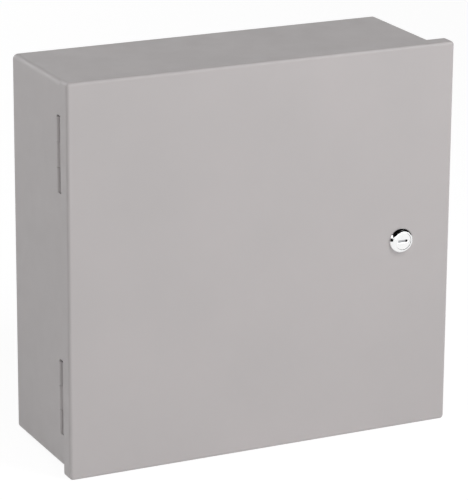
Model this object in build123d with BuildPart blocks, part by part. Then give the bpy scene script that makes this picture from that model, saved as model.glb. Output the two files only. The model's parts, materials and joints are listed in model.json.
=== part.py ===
from build123d import *
import os

# Wall-mount utility enclosure: a folded steel box, a lapped pan door on two slot hinges, and a cam lock.
# Millimetres. The origin is the middle of the back face, +Z is up and the door faces -Y.
# A depth is measured forwards from the wall, so depth d lies at Y = -d, on Plane.XZ.offset(d).

# Box, folded from one sheet, with its corners welded and ground
sheet = 1.5
body_width = 307.5
body_height = 298.0
body_depth = 107.5
corner_radius = 4.0
fold_radius = 3.0
lip_width = 14.0
mouth_radius = 3.0
overrun = 2.0

# Door pan, which laps over the front of the box
door_flange = 12.5
door_corner_radius = 3.0
door_fold_radius = 2.5
lap_gap = 2.0
latch_gap = 6.0
seal_gap = 5.0

# Foam gasket on the back of the door
gasket_width = 9.0
gasket_inset = 2.5
gasket_radius = 6.0
gasket_clearance = 0.3

# Hinges: rolled leaves on a plain pin, in a slot behind the door's flange
hinge_length = 57.0
hinge_inset = 55.0
hinge_setback = 11.0
leaf = 1.0
pin_radius = 1.0
pin_play = 0.05
knuckle_count = 3
knuckle_gap = 0.3
knuckle_clearance = 0.5
curl_slit = 0.3
body_leaf_width = 18.0
leaf_margin = 1.5
leaf_crank_start = 6.5
leaf_crank = 2.5
slot_clearance = 0.75
slot_radius = 1.2

# Holes for the bolts that hold the box on its wall
wall_hole_radius = 3.55
wall_inset_x = 18.75
wall_inset_z = 19.0

# Mounting panel on four collar studs
panel_margin_x = 28.75
panel_margin_z = 29.0
panel_sheet = 2.0
panel_radius = 6.0
panel_standoff = 12.0
panel_hole_radius = 3.4
panel_hole_inset = 15.0
collar_flats = 11.0

# Studs, nuts and washers, all of one thread size
stud_radius = 3.0
stud_reach = 13.0
weld_flange_radius = 4.5
weld_flange = 1.0
nut_flats = 10.0
nut_height = 5.0
nut_chamfer = 0.5
thread_play = 0.05
washer_radius = 6.0
washer_sheet = 1.6
washer_hole_radius = 3.2

# Earth studs, placed from the left and lower walls of the box
earth_inset_x = 83.75
earth_inset_z = 15.0
door_earth_inset_x = 35.75
door_earth_inset_z = 37.0

# Cam lock: a bezel and threaded barrel, with a turning plug
lock_edge = 42.3
lock_z = 0.0
bezel_radius = 10.3
bezel_rim = 0.8
bezel_shoulder_radius = 9.3
bezel_shoulder = 2.5
bezel_face_radius = 7.6
bezel_height = 3.6
barrel_radius = 8.0
barrel_flat = 6.9
barrel_length = 11.5
hole_play = 0.15
plug_head_radius = 6.75
plug_head = 2.3
plug_recess = 0.3
plug_radius = 5.5
plug_play = 0.05
plug_end_play = 0.2
tail_width = 6.5
tail_play = 0.05
keyway_width = 8.0
keyway_height = 1.9
keyway_depth = 10.5
key_entry_width = 10.8
key_entry_height = 2.6
key_entry_depth = 0.5

# Disc tumblers across the plug
wafer_count = 4
wafer_sheet = 0.9
wafer_pitch = 1.7
wafer_start = 4.0
wafer_length = 9.3
wafer_height = 5.6
wafer_wall = 0.5
wafer_play = 0.05

# Nut and tooth washer behind the door
lock_nut_flats = 22.0
lock_nut_height = 4.0
lock_washer_radius = 10.6
lock_washer_sheet = 0.8
lock_washer_teeth = 12
lock_tooth_depth = 1.2
lock_tooth_width = 1.4

# Cam, cranked forwards to reach just behind the lip
cam_width = 14.0
cam_sheet = 2.0
cam_length = 30.0
cam_tip_radius = 4.0
cam_hub_reach = 10.5
cam_crank = 5.0
cam_clearance = 0.6
cam_washer_radius = 5.0
cam_washer_sheet = 1.0
cam_screw_radius = 2.0
cam_screw_length = 7.0
cam_screw_head_radius = 4.0
cam_screw_head = 2.8
cam_screw_head_edge = 0.8
cam_recess_width = 1.1
cam_recess_depth = 1.4

# Places worked out from the sizes above
door_front = body_depth + seal_gap + sheet
door_inside = door_front - sheet
pin_hole_radius = pin_radius + pin_play
knuckle_radius = pin_hole_radius + leaf
hinge_gap = 2 * knuckle_radius - leaf - sheet
door_left = -body_width / 2 - hinge_gap - sheet
door_right = body_width / 2 + latch_gap + sheet
door_width = door_right - door_left
door_height = body_height + 2 * (lap_gap + sheet)
door_middle = (door_left + door_right) / 2
flange_back = door_front - door_flange
hinge_x = door_left + sheet + knuckle_radius
hinge_depth = flange_back - hinge_setback
door_leaf_width = hinge_setback + door_flange - door_fold_radius - leaf_margin
leaf_middle = pin_hole_radius + leaf / 2
leaf_start = knuckle_radius + knuckle_clearance
knuckle_length = (hinge_length - 2 * knuckle_gap) / knuckle_count
leaf_crank_end = leaf_crank_start + leaf_crank
slot_width = knuckle_radius + leaf_crank_end + 2 * slot_clearance
slot_middle = -hinge_depth + (knuckle_radius - leaf_crank_end) / 2
hinge_spacing = body_height - 2 * hinge_inset
wall_pitch_x = body_width - 2 * wall_inset_x
wall_pitch_z = body_height - 2 * wall_inset_z
panel_width = body_width - 2 * panel_margin_x
panel_height = body_height - 2 * panel_margin_z
panel_back = sheet + panel_standoff
panel_front = panel_back + panel_sheet
panel_hole_x = panel_width / 2 - panel_hole_inset
panel_hole_z = panel_height / 2 - panel_hole_inset
earth_x = earth_inset_x - body_width / 2
earth_z = earth_inset_z - body_height / 2
door_earth_x = door_earth_inset_x - body_width / 2
door_earth_z = door_earth_inset_z - body_height / 2
lock_x = door_right - lock_edge
barrel_end = door_inside - barrel_length
plug_face = door_front + bezel_height - plug_recess
plug_shoulder = plug_face - plug_head
cam_seat = barrel_end - plug_end_play
cam_back = cam_seat - cam_sheet
cam_tip_front = body_depth - sheet - cam_clearance
cam_screw_seat = cam_back - cam_washer_sheet
lock_axis = Axis((lock_x, 0, lock_z), (0, 1, 0))
lock_section = Plane((lock_x, 0, lock_z))


def save(piece, name):
    """Label a finished piece and write it to its own file."""
    piece.part.label = name
    export_step(piece.part, f"parts/{name}.step")


os.makedirs("parts", exist_ok=True)

# Hollow of the box, rounded where the sheet turns
with BuildPart() as cavity:
    with BuildSketch(Plane.XZ.offset(sheet)):
        RectangleRounded(body_width - 2 * sheet, body_height - 2 * sheet, corner_radius - sheet)
    extrude(amount=body_depth - 2 * sheet)
    cavity_ends = cavity.faces().filter_by(Axis.Y)
    fillet(cavity_ends.edges(), fold_radius - sheet)

# Box: back, four walls and an inward lip all round the mouth
with BuildPart() as enclosure_body:
    with BuildSketch(Plane.XZ):
        RectangleRounded(body_width, body_height, corner_radius)
    extrude(amount=body_depth)
    box_ends = enclosure_body.faces().filter_by(Axis.Y)
    fillet(box_ends.edges(), fold_radius)
    add(cavity.part, mode=Mode.SUBTRACT)
    with BuildSketch(Plane.XZ.offset(body_depth - sheet - overrun)):
        RectangleRounded(body_width - 2 * lip_width, body_height - 2 * lip_width, mouth_radius)
    extrude(amount=sheet + 2 * overrun, mode=Mode.SUBTRACT)
    with BuildSketch(Plane.XZ.offset(-overrun)):
        with GridLocations(wall_pitch_x, wall_pitch_z, 2, 2):
            Circle(wall_hole_radius)
    extrude(amount=sheet + 2 * overrun, mode=Mode.SUBTRACT)
    with BuildSketch(Plane.YZ.offset(-body_width / 2 - overrun)):
        with Locations((slot_middle, hinge_spacing / 2), (slot_middle, -hinge_spacing / 2)):
            RectangleRounded(slot_width, hinge_length + 2 * slot_clearance, slot_radius)
    extrude(amount=sheet + 2 * overrun, mode=Mode.SUBTRACT)
save(enclosure_body, "enclosure_body")

# Hollow of the door pan
with BuildPart() as pan_hollow:
    with BuildSketch(Plane.XZ.offset(flange_back - overrun)):
        with Locations((door_middle, 0)):
            RectangleRounded(door_width - 2 * sheet, door_height - 2 * sheet, door_corner_radius - sheet)
    extrude(amount=door_flange - sheet + overrun)
    pan_floor = pan_hollow.faces().sort_by(Axis.Y)[0]
    fillet(pan_floor.edges(), door_fold_radius - sheet)

# Door: a folded pan with its corners closed, and a double-D hole for the lock
with BuildPart() as door:
    with BuildSketch(Plane.XZ.offset(flange_back)):
        with Locations((door_middle, 0)):
            RectangleRounded(door_width, door_height, door_corner_radius)
    extrude(amount=door_flange)
    door_face = door.faces().sort_by(Axis.Y)[0]
    fillet(door_face.edges(), door_fold_radius)
    add(pan_hollow.part, mode=Mode.SUBTRACT)
    with BuildSketch(Plane.XZ.offset(door_inside - overrun)):
        with Locations((lock_x, lock_z)):
            Circle(barrel_radius + hole_play)
            Rectangle(
                2 * (barrel_radius + overrun),
                2 * (barrel_flat + hole_play),
                mode=Mode.INTERSECT,
            )
    extrude(amount=sheet + 2 * overrun, mode=Mode.SUBTRACT)
save(door, "door")

# Gasket: one foam ring, bonded to the door over the lip
with BuildPart() as door_gasket:
    gasket_outer_width = body_width - 2 * gasket_inset
    gasket_outer_height = body_height - 2 * gasket_inset
    with BuildSketch(Plane.XZ.offset(body_depth + gasket_clearance)):
        RectangleRounded(gasket_outer_width, gasket_outer_height, gasket_radius)
        Rectangle(
            gasket_outer_width - 2 * gasket_width,
            gasket_outer_height - 2 * gasket_width,
            mode=Mode.SUBTRACT,
        )
    extrude(amount=seal_gap - gasket_clearance)
save(door_gasket, "door_gasket")

# Hinges: the box's leaf has the two outer knuckles, the door's cranked leaf the middle one
for level, hinge_z in (("upper", hinge_spacing / 2), ("lower", -hinge_spacing / 2)):
    hinge_foot = hinge_z - hinge_length / 2
    outer_knuckles = (hinge_foot, hinge_z + hinge_length / 2 - knuckle_length)
    middle_knuckle = hinge_z - knuckle_length / 2

    with BuildPart() as hinge_body_leaf:
        with BuildSketch(Plane((hinge_x, -hinge_depth, hinge_foot))):
            with Locations((leaf_middle, (leaf_start + body_leaf_width) / 2)):
                Rectangle(leaf, body_leaf_width - leaf_start)
        extrude(amount=hinge_length)
        for knuckle_foot in outer_knuckles:
            with BuildSketch(Plane((hinge_x, -hinge_depth, knuckle_foot))):
                Circle(knuckle_radius)
                with Locations((leaf_middle, leaf_start / 2)):
                    Rectangle(leaf, leaf_start)
                with Locations((pin_hole_radius - curl_slit / 2, knuckle_radius - leaf / 2)):
                    Rectangle(curl_slit, 2 * leaf, mode=Mode.SUBTRACT)
                Circle(pin_hole_radius, mode=Mode.SUBTRACT)
            extrude(amount=knuckle_length)
    save(hinge_body_leaf, f"{level}_hinge_body_leaf")

    with BuildPart() as hinge_door_leaf:
        with BuildSketch(Plane((hinge_x, -hinge_depth, hinge_foot))):
            with BuildLine():
                Polyline(
                    (-leaf / 2, -leaf_start),
                    (-leaf / 2, -leaf_crank_start),
                    (-knuckle_radius, -leaf_crank_end),
                    (-knuckle_radius, -door_leaf_width),
                    (-pin_hole_radius, -door_leaf_width),
                    (-pin_hole_radius, -leaf_crank_end),
                    (leaf / 2, -leaf_crank_start),
                    (leaf / 2, -leaf_start),
                    close=True,
                )
            make_face()
        extrude(amount=hinge_length)
        with BuildSketch(Plane((hinge_x, -hinge_depth, middle_knuckle))):
            Circle(knuckle_radius)
            with Locations((0, -leaf_start / 2)):
                Rectangle(leaf, leaf_start)
            with Locations(((leaf + curl_slit) / 2, leaf / 2 - knuckle_radius)):
                Rectangle(curl_slit, 2 * leaf, mode=Mode.SUBTRACT)
            Circle(pin_hole_radius, mode=Mode.SUBTRACT)
        extrude(amount=knuckle_length)
    save(hinge_door_leaf, f"{level}_hinge_door_leaf")

    with BuildPart() as hinge_pin:
        with BuildSketch(Plane((hinge_x, -hinge_depth, hinge_foot))):
            Circle(pin_radius)
        extrude(amount=hinge_length)
    save(hinge_pin, f"{level}_hinge_pin")

# Mounting panel, with a hole over each stud
with BuildPart() as mounting_panel:
    with BuildSketch(Plane.XZ.offset(panel_back)):
        RectangleRounded(panel_width, panel_height, panel_radius)
        with GridLocations(2 * panel_hole_x, 2 * panel_hole_z, 2, 2):
            Circle(panel_hole_radius, mode=Mode.SUBTRACT)
    extrude(amount=panel_sheet)
save(mounting_panel, "mounting_panel")

# Hexagonal collar studs, welded to the back of the box
with BuildPart() as panel_studs:
    with BuildSketch(Plane.XZ.offset(sheet)):
        with GridLocations(2 * panel_hole_x, 2 * panel_hole_z, 2, 2):
            RegularPolygon(collar_flats / 2, 6, major_radius=False)
    extrude(amount=panel_standoff)
    with BuildSketch(Plane.XZ.offset(panel_back)):
        with GridLocations(2 * panel_hole_x, 2 * panel_hole_z, 2, 2):
            Circle(stud_radius)
    extrude(amount=panel_sheet + stud_reach)
save(panel_studs, "panel_studs")

# Washers and nuts on the panel's studs
with BuildPart() as panel_washers:
    with BuildSketch(Plane.XZ.offset(panel_front)):
        with GridLocations(2 * panel_hole_x, 2 * panel_hole_z, 2, 2):
            Circle(washer_radius)
            Circle(washer_hole_radius, mode=Mode.SUBTRACT)
    extrude(amount=washer_sheet)
save(panel_washers, "panel_washers")

with BuildPart() as panel_nuts:
    with BuildSketch(Plane.XZ.offset(panel_front + washer_sheet)):
        with GridLocations(2 * panel_hole_x, 2 * panel_hole_z, 2, 2):
            RegularPolygon(nut_flats / 2, 6, major_radius=False)
            Circle(stud_radius + thread_play, mode=Mode.SUBTRACT)
    extrude(amount=nut_height)
    chamfer(panel_nuts.edges().filter_by(GeomType.LINE).group_by(Axis.Y)[0], nut_chamfer)
save(panel_nuts, "panel_nuts")

# Earth stud of the box, below the panel, with its washer and nut
with BuildPart() as earth_stud:
    with BuildSketch(Plane.XZ.offset(sheet)):
        with Locations((earth_x, earth_z)):
            Circle(weld_flange_radius)
    extrude(amount=weld_flange)
    with BuildSketch(Plane.XZ.offset(sheet + weld_flange)):
        with Locations((earth_x, earth_z)):
            Circle(stud_radius)
    extrude(amount=stud_reach)
save(earth_stud, "earth_stud")

with BuildPart() as earth_washer:
    with BuildSketch(Plane.XZ.offset(sheet + weld_flange)):
        with Locations((earth_x, earth_z)):
            Circle(washer_radius)
            Circle(washer_hole_radius, mode=Mode.SUBTRACT)
    extrude(amount=washer_sheet)
save(earth_washer, "earth_washer")

with BuildPart() as earth_nut:
    with BuildSketch(Plane.XZ.offset(sheet + weld_flange + washer_sheet)):
        with Locations((earth_x, earth_z)):
            RegularPolygon(nut_flats / 2, 6, major_radius=False)
            Circle(stud_radius + thread_play, mode=Mode.SUBTRACT)
    extrude(amount=nut_height)
    chamfer(earth_nut.edges().filter_by(GeomType.LINE).group_by(Axis.Y)[0], nut_chamfer)
save(earth_nut, "earth_nut")

# Earth stud of the door, pointing into the box, with its washer and nut
with BuildPart() as door_earth_stud:
    with BuildSketch(Plane.XZ.offset(door_inside)):
        with Locations((door_earth_x, door_earth_z)):
            Circle(weld_flange_radius)
    extrude(amount=-weld_flange)
    with BuildSketch(Plane.XZ.offset(door_inside - weld_flange)):
        with Locations((door_earth_x, door_earth_z)):
            Circle(stud_radius)
    extrude(amount=-stud_reach)
save(door_earth_stud, "door_earth_stud")

with BuildPart() as door_earth_washer:
    with BuildSketch(Plane.XZ.offset(door_inside - weld_flange)):
        with Locations((door_earth_x, door_earth_z)):
            Circle(washer_radius)
            Circle(washer_hole_radius, mode=Mode.SUBTRACT)
    extrude(amount=-washer_sheet)
save(door_earth_washer, "door_earth_washer")

with BuildPart() as door_earth_nut:
    with BuildSketch(Plane.XZ.offset(door_inside - weld_flange - washer_sheet)):
        with Locations((door_earth_x, door_earth_z)):
            RegularPolygon(nut_flats / 2, 6, major_radius=False)
            Circle(stud_radius + thread_play, mode=Mode.SUBTRACT)
    extrude(amount=-nut_height)
    chamfer(door_earth_nut.edges().filter_by(GeomType.LINE).group_by(Axis.Y)[-1], nut_chamfer)
save(door_earth_nut, "door_earth_nut")

# Lock housing: a coned bezel in front of the door and a flatted barrel behind it
with BuildPart() as lock_housing:
    with BuildSketch(lock_section):
        with BuildLine():
            rim_edge = (bezel_radius, -door_front - bezel_rim)
            shoulder_edge = (bezel_shoulder_radius, -door_front - bezel_shoulder)
            face_edge = (bezel_face_radius, -door_front - bezel_height)
            bore_edge = (plug_head_radius + plug_play, -door_front - bezel_height)
            bore_floor = (plug_head_radius + plug_play, plug_play - plug_shoulder)
            bore_neck = (plug_radius + plug_play, plug_play - plug_shoulder)
            Line((barrel_radius, -door_front), (bezel_radius, -door_front))
            Line((bezel_radius, -door_front), rim_edge)
            Line(rim_edge, shoulder_edge)
            Line(shoulder_edge, face_edge)
            Line(face_edge, bore_edge)
            Line(bore_edge, bore_floor)
            Line(bore_floor, bore_neck)
            Line(bore_neck, (plug_radius + plug_play, -barrel_end))
            Line((plug_radius + plug_play, -barrel_end), (barrel_radius, -barrel_end))
            Line((barrel_radius, -barrel_end), (barrel_radius, -door_front))
        make_face()
    revolve(axis=lock_axis)
    with BuildSketch(Plane.XZ.offset(barrel_end)):
        with Locations((lock_x, lock_z)):
            Circle(barrel_radius + overrun)
            Rectangle(2 * (barrel_radius + overrun), 2 * barrel_flat, mode=Mode.SUBTRACT)
    extrude(amount=door_front - barrel_end, mode=Mode.SUBTRACT)
save(lock_housing, "lock_housing")

# Plug: a headed cylinder with a keyway, slots for the tumblers and a square tail for the cam
with BuildPart() as lock_plug:
    with BuildSketch(Plane.XZ.offset(cam_seat)):
        with Locations((lock_x, lock_z)):
            Circle(plug_radius)
    extrude(amount=plug_shoulder - cam_seat)
    with BuildSketch(Plane.XZ.offset(plug_shoulder)):
        with Locations((lock_x, lock_z)):
            Circle(plug_head_radius)
    extrude(amount=plug_head)
    with BuildSketch(Plane.XZ.offset(cam_back + tail_play)):
        with Locations((lock_x, lock_z)):
            Rectangle(tail_width, tail_width)
    extrude(amount=cam_sheet - tail_play)
    with BuildSketch(Plane.XZ.offset(plug_face - key_entry_depth)):
        with Locations((lock_x, lock_z)):
            SlotOverall(key_entry_width, key_entry_height)
    extrude(amount=key_entry_depth + overrun, mode=Mode.SUBTRACT)
    with BuildSketch(Plane.XZ.offset(plug_face - keyway_depth)):
        with Locations((lock_x, lock_z)):
            Rectangle(keyway_width, keyway_height)
    extrude(amount=keyway_depth, mode=Mode.SUBTRACT)
    for wafer in range(wafer_count):
        with BuildSketch(Plane.XZ.offset(plug_face - wafer_start - wafer * wafer_pitch)):
            with Locations((lock_x, lock_z)):
                Rectangle(2 * (plug_radius + overrun), wafer_height + 2 * wafer_play)
        extrude(amount=-(wafer_sheet + 2 * wafer_play), mode=Mode.SUBTRACT)
    with BuildSketch(Plane.XZ.offset(cam_back - overrun)):
        with Locations((lock_x, lock_z)):
            Circle(cam_screw_radius + thread_play)
    extrude(amount=overrun + cam_screw_length - cam_washer_sheet + thread_play, mode=Mode.SUBTRACT)
save(lock_plug, "lock_plug")

# Disc tumblers, drawn in as they lie with the key in the plug
with BuildPart() as lock_wafers:
    for wafer in range(wafer_count):
        with BuildSketch(Plane.XZ.offset(plug_face - wafer_start - wafer * wafer_pitch - wafer_play)):
            with Locations((lock_x, lock_z)):
                Rectangle(wafer_length, wafer_height)
                Rectangle(
                    wafer_length - 2 * wafer_wall,
                    wafer_height - 2 * wafer_wall,
                    mode=Mode.SUBTRACT,
                )
        extrude(amount=-wafer_sheet)
save(lock_wafers, "lock_wafers")

# Tooth washer and thin nut that clamp the lock to the door
with BuildPart() as lock_washer:
    with BuildSketch(Plane.XZ.offset(door_inside)):
        with Locations((lock_x, lock_z)):
            Circle(lock_washer_radius)
            Circle(barrel_radius + hole_play, mode=Mode.SUBTRACT)
            with PolarLocations(lock_washer_radius, lock_washer_teeth):
                Rectangle(2 * lock_tooth_depth, lock_tooth_width, mode=Mode.SUBTRACT)
    extrude(amount=-lock_washer_sheet)
save(lock_washer, "lock_washer")

with BuildPart() as lock_nut:
    with BuildSketch(Plane.XZ.offset(door_inside - lock_washer_sheet)):
        with Locations((lock_x, lock_z)):
            RegularPolygon(lock_nut_flats / 2, 6, major_radius=False)
            Circle(barrel_radius + thread_play, mode=Mode.SUBTRACT)
    extrude(amount=-lock_nut_height)
    chamfer(lock_nut.edges().filter_by(GeomType.LINE).group_by(Axis.Y)[-1], nut_chamfer)
save(lock_nut, "lock_nut")

# Cam: a stamped and cranked arm, hanging down at rest
with BuildPart() as lock_cam:
    with BuildSketch(Plane.YZ.offset(lock_x - cam_width / 2)):
        with BuildLine():
            crank_end = lock_z - cam_hub_reach - cam_crank
            Polyline(
                (-cam_back, lock_z + cam_width / 2),
                (-cam_back, lock_z - cam_hub_reach),
                (-cam_tip_front + cam_sheet, crank_end),
                (-cam_tip_front + cam_sheet, lock_z - cam_length),
                (-cam_tip_front, lock_z - cam_length),
                (-cam_tip_front, crank_end),
                (-cam_seat, lock_z - cam_hub_reach),
                (-cam_seat, lock_z + cam_width / 2),
                close=True,
            )
        make_face()
    extrude(amount=cam_width)
    with BuildSketch(Plane.XZ.offset(cam_back - overrun)):
        with Locations((lock_x, lock_z)):
            Circle(cam_width / 2)
        with BuildLine():
            cam_foot = lock_z - cam_length
            FilletPolyline(
                (lock_x - cam_width / 2, lock_z),
                (lock_x - cam_width / 2, cam_foot),
                (lock_x + cam_width / 2, cam_foot),
                (lock_x + cam_width / 2, lock_z),
                radius=cam_tip_radius,
            )
            Line((lock_x + cam_width / 2, lock_z), (lock_x - cam_width / 2, lock_z))
        make_face()
    extrude(amount=cam_tip_front - cam_back + 2 * overrun, mode=Mode.INTERSECT)
    with BuildSketch(Plane.XZ.offset(cam_back - overrun)):
        with Locations((lock_x, lock_z)):
            Rectangle(tail_width + 2 * tail_play, tail_width + 2 * tail_play)
    extrude(amount=cam_sheet + 2 * overrun, mode=Mode.SUBTRACT)
save(lock_cam, "lock_cam")

# Washer and screw that hold the cam on the plug's tail
with BuildPart() as cam_washer:
    with BuildSketch(Plane.XZ.offset(cam_screw_seat)):
        with Locations((lock_x, lock_z)):
            Circle(cam_washer_radius)
            Circle(cam_screw_radius + hole_play, mode=Mode.SUBTRACT)
    extrude(amount=cam_washer_sheet)
save(cam_washer, "cam_washer")

with BuildPart() as cam_screw:
    with BuildSketch(Plane.XZ.offset(cam_screw_seat)):
        with Locations((lock_x, lock_z)):
            Circle(cam_screw_radius)
    extrude(amount=cam_screw_length)
    with BuildSketch(Plane.XZ.offset(cam_screw_seat)):
        with Locations((lock_x, lock_z)):
            Circle(cam_screw_head_radius)
    extrude(amount=-cam_screw_head)
    chamfer(cam_screw.edges().filter_by(GeomType.CIRCLE).group_by(Axis.Y)[-1], cam_screw_head_edge)
    with BuildSketch(Plane.XZ.offset(cam_screw_seat - cam_screw_head)):
        with Locations((lock_x, lock_z)):
            Rectangle(2 * cam_screw_radius, cam_recess_width)
            Rectangle(cam_recess_width, 2 * cam_screw_radius)
    extrude(amount=cam_recess_depth, mode=Mode.SUBTRACT)
save(cam_screw, "cam_screw")
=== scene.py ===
"""Looks of a wall-mount utility enclosure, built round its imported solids.

Sizes are in millimetres until a mesh is made. A depth runs forwards from the wall, so depth d lies at Y = -d.
"""

import json
import logging
import math
from collections.abc import Callable, Iterable, Sequence
from dataclasses import dataclass, replace
from enum import Enum

import bmesh
import bpy
from mathutils import Matrix, Vector


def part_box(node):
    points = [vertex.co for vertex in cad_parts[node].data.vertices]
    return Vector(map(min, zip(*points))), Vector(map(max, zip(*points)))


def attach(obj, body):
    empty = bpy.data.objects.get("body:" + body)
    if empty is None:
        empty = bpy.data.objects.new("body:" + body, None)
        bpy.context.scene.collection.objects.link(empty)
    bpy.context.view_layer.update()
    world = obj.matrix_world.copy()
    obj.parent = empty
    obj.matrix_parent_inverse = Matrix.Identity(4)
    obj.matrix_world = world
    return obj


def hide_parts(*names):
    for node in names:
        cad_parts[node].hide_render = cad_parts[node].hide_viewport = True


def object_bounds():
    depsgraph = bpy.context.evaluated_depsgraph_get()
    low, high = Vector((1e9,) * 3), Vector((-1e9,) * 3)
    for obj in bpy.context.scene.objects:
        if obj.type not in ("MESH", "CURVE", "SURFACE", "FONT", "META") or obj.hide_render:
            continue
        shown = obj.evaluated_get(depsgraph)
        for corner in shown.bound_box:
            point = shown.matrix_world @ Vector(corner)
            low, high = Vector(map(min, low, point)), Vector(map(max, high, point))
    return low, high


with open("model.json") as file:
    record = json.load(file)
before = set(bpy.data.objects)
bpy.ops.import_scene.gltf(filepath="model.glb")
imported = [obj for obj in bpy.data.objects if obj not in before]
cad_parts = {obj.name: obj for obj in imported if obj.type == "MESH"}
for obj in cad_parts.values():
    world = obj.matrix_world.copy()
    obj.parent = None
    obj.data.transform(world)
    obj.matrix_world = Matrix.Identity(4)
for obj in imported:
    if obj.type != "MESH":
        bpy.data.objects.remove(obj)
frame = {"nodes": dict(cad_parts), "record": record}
CAD_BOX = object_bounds()

LOG = logging.getLogger("enclosure")
MM = 0.001
TAU = math.tau
QUARTER = math.pi / 2

# Left or right and low or high for four corners, and a square's corners in turn
CORNERS = ((-1, -1), (-1, 1), (1, -1), (1, 1))
SQUARE = ((-1, -1), (1, -1), (1, 1), (-1, 1))

# How finely meshes are drawn, merged and smoothed
MERGE_DISTANCE = 0.002
SMALLEST_RADIUS = 0.4
ROUND_STEPS = 72
THREAD_STEPS = 36
PIN_STEPS = 32
SPOT_STEPS = 24
BEAD_STEPS = 16
CORNER_STEPS = 10
FOLD_STEPS = 8
TOOTH_STEPS = 4
EDGE_STEPS = 3
ROWS_PER_PITCH = 6
BEVEL_SEGMENTS = 2
SHARP_ANGLE = math.radians(32)
BEVEL_ANGLE = math.radians(40)
FLAT_ANGLE = math.radians(0.5)

# Proportions of nuts, threads and washers
HEX_SIDES = 6
HEX_FACE_SHARE = 0.475
HEX_SLOPE_SHARE = 0.58
BORE_CHAMFER = 0.35
THREAD_ROOT_SHARE = 0.55
THREAD_TIP_SHARE = 0.8
WASHER_ROLL_SHARE = 0.2

# The part of a noise that varies most, its detail in a tone, and the sockets of a mix of colours
NOISE_SPAN = {"From Min": 0.3, "From Max": 0.7}
TONE_DETAIL = 3.0
MIX_FROM = 6
MIX_TO = 7
MIX_RESULT = 2

Point = tuple[float, float, float]
Pair = tuple[float, float]
Reach = Callable[[float], float]
Ring = list[int]
Colour = tuple[float, float, float, float]


class Body(Enum):
    """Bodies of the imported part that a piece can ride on."""

    CABINET = "cabinet"
    DOOR = "door"
    LOCK = "lock_cylinder"


class Slot(Enum):
    """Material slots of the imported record."""

    GREY_COAT = "grey_powder_coat"
    WHITE_PAINT = "white_panel_paint"
    FOAM = "black_foam"
    STEEL = "plain_steel"
    ZINC = "zinc_plate"
    CHROME = "lock_chrome"
    BRASS = "tumbler_brass"


class Pattern(Enum):
    """Ways in which a repeated shape is set out."""

    GRID = "grid_pattern"
    TURN = "turn_pattern"


def linear(hex_colour: str) -> Colour:
    """Turn an sRGB hex colour into linear light.

    Args:
        hex_colour: A colour such as "#b8b4b2".

    Returns:
        Red, green, blue and an alpha of one.
    """
    knee, slope, offset, power = 0.04045, 12.92, 0.055, 2.4
    channels = [int(hex_colour[i : i + 2], 16) / 255 for i in (1, 3, 5)]
    red, green, blue = (c / slope if c <= knee else ((c + offset) / (1 + offset)) ** power for c in channels)
    return red, green, blue, 1.0


def grey(level: float) -> Colour:
    """Give a grey of a level in linear light."""
    return level, level, level, 1.0


def per_size(size: float) -> float:
    """Give the texture scale, in metres, at which a pattern's features have a size in millimetres."""
    return 1 / (size * MM)


def metres(point: Point) -> Vector:
    """Turn X, depth and Z in millimetres into a place in the scene."""
    x, depth, z = point
    return Vector((x, -depth, z)) * MM


def add_node(
    tree: bpy.types.NodeTree,
    kind: str,
    inputs: dict[int | str, object] | None = None,
    **settings: object,
) -> bpy.types.Node:
    """Add a node with its settings, values and links.

    Args:
        tree: The node tree that gets it.
        kind: The node's type name.
        inputs: A value or an output socket for each input, by name or index.
        **settings: Properties of the node.

    Returns:
        The new node.
    """
    node = tree.nodes.new(kind)
    for key, value in settings.items():
        setattr(node, key, value)
    for key, value in (inputs or {}).items():
        if isinstance(value, bpy.types.NodeSocket):
            tree.links.new(value, node.inputs[key])
        else:
            node.inputs[key].default_value = value
    return node


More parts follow.
